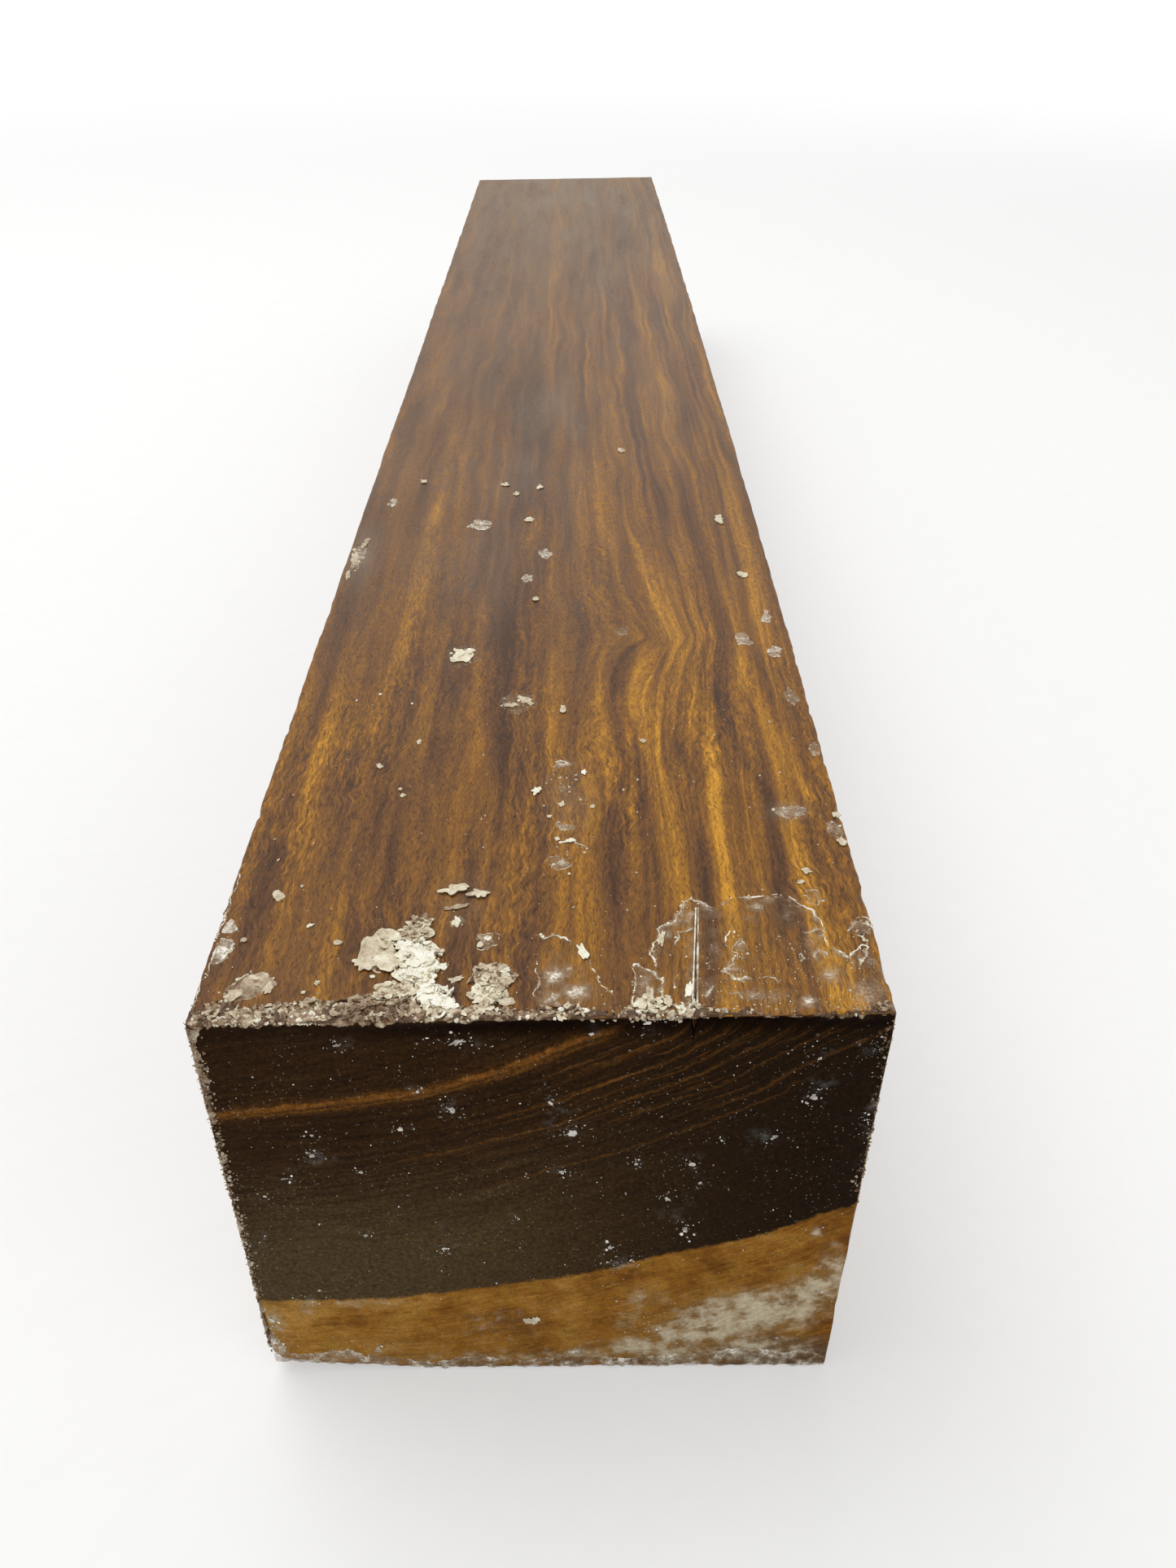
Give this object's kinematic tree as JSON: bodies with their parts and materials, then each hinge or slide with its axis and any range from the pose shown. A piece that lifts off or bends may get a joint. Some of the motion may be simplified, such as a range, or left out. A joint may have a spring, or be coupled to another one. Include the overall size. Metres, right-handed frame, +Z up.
{
  "type": "lignum vitae block",
  "caption": "Long rough-sawn hardwood blank with square arrises, dark heartwood over a pale sapwood edge, and remains of sealing wax at one end.",
  "frame": {"origin": "middle of the underside's bounding rectangle, at the level of the floor that it lies on", "axes": "+Y along the grain, from the waxed end that faces the viewer to the plain end; +Z up, from the sapwood side to the upper face; +X to the viewer's right, the side with the belly"},
  "size_m": [0.091, 0.6, 0.0807],
  "materials": {
    "heartwood": "sawn and oily, brown and gold stripes, with remains of clear wax"
  },
  "bodies": {
    "root": {"lignum_vitae_block": "heartwood"}
  },
  "joints": []
}
